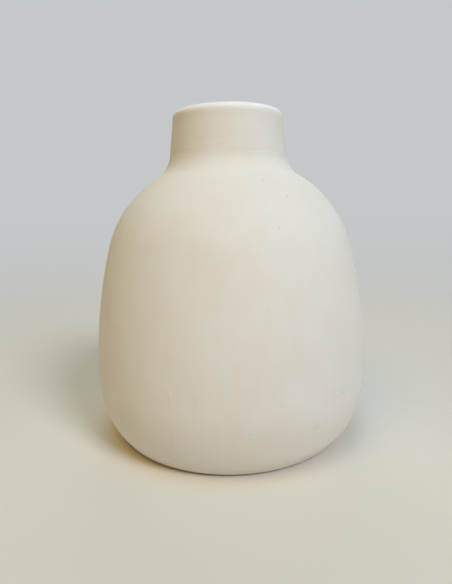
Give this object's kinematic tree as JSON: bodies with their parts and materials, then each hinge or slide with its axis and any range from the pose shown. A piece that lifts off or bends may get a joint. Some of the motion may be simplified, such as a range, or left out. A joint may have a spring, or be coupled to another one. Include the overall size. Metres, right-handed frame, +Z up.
{
  "type": "vase",
  "caption": "Round matte white ceramic vase with a full belly, domed shoulder and short tapered open neck, hollow and glazed inside to hold water.",
  "frame": {"origin": "middle of the resting face, at its level", "axes": "+Z up along the axis of the vase; -Y is the side that the picture shows, +X is to the right there"},
  "size_m": [0.15, 0.15, 0.1735],
  "materials": {
    "bisque": "matte unglazed, fine sponged grain",
    "clear_glaze": "glossy clear glaze over white clay"
  },
  "bodies": {
    "root": {"vase_body": "bisque", "inner_glaze": "clear_glaze"}
  },
  "joints": []
}
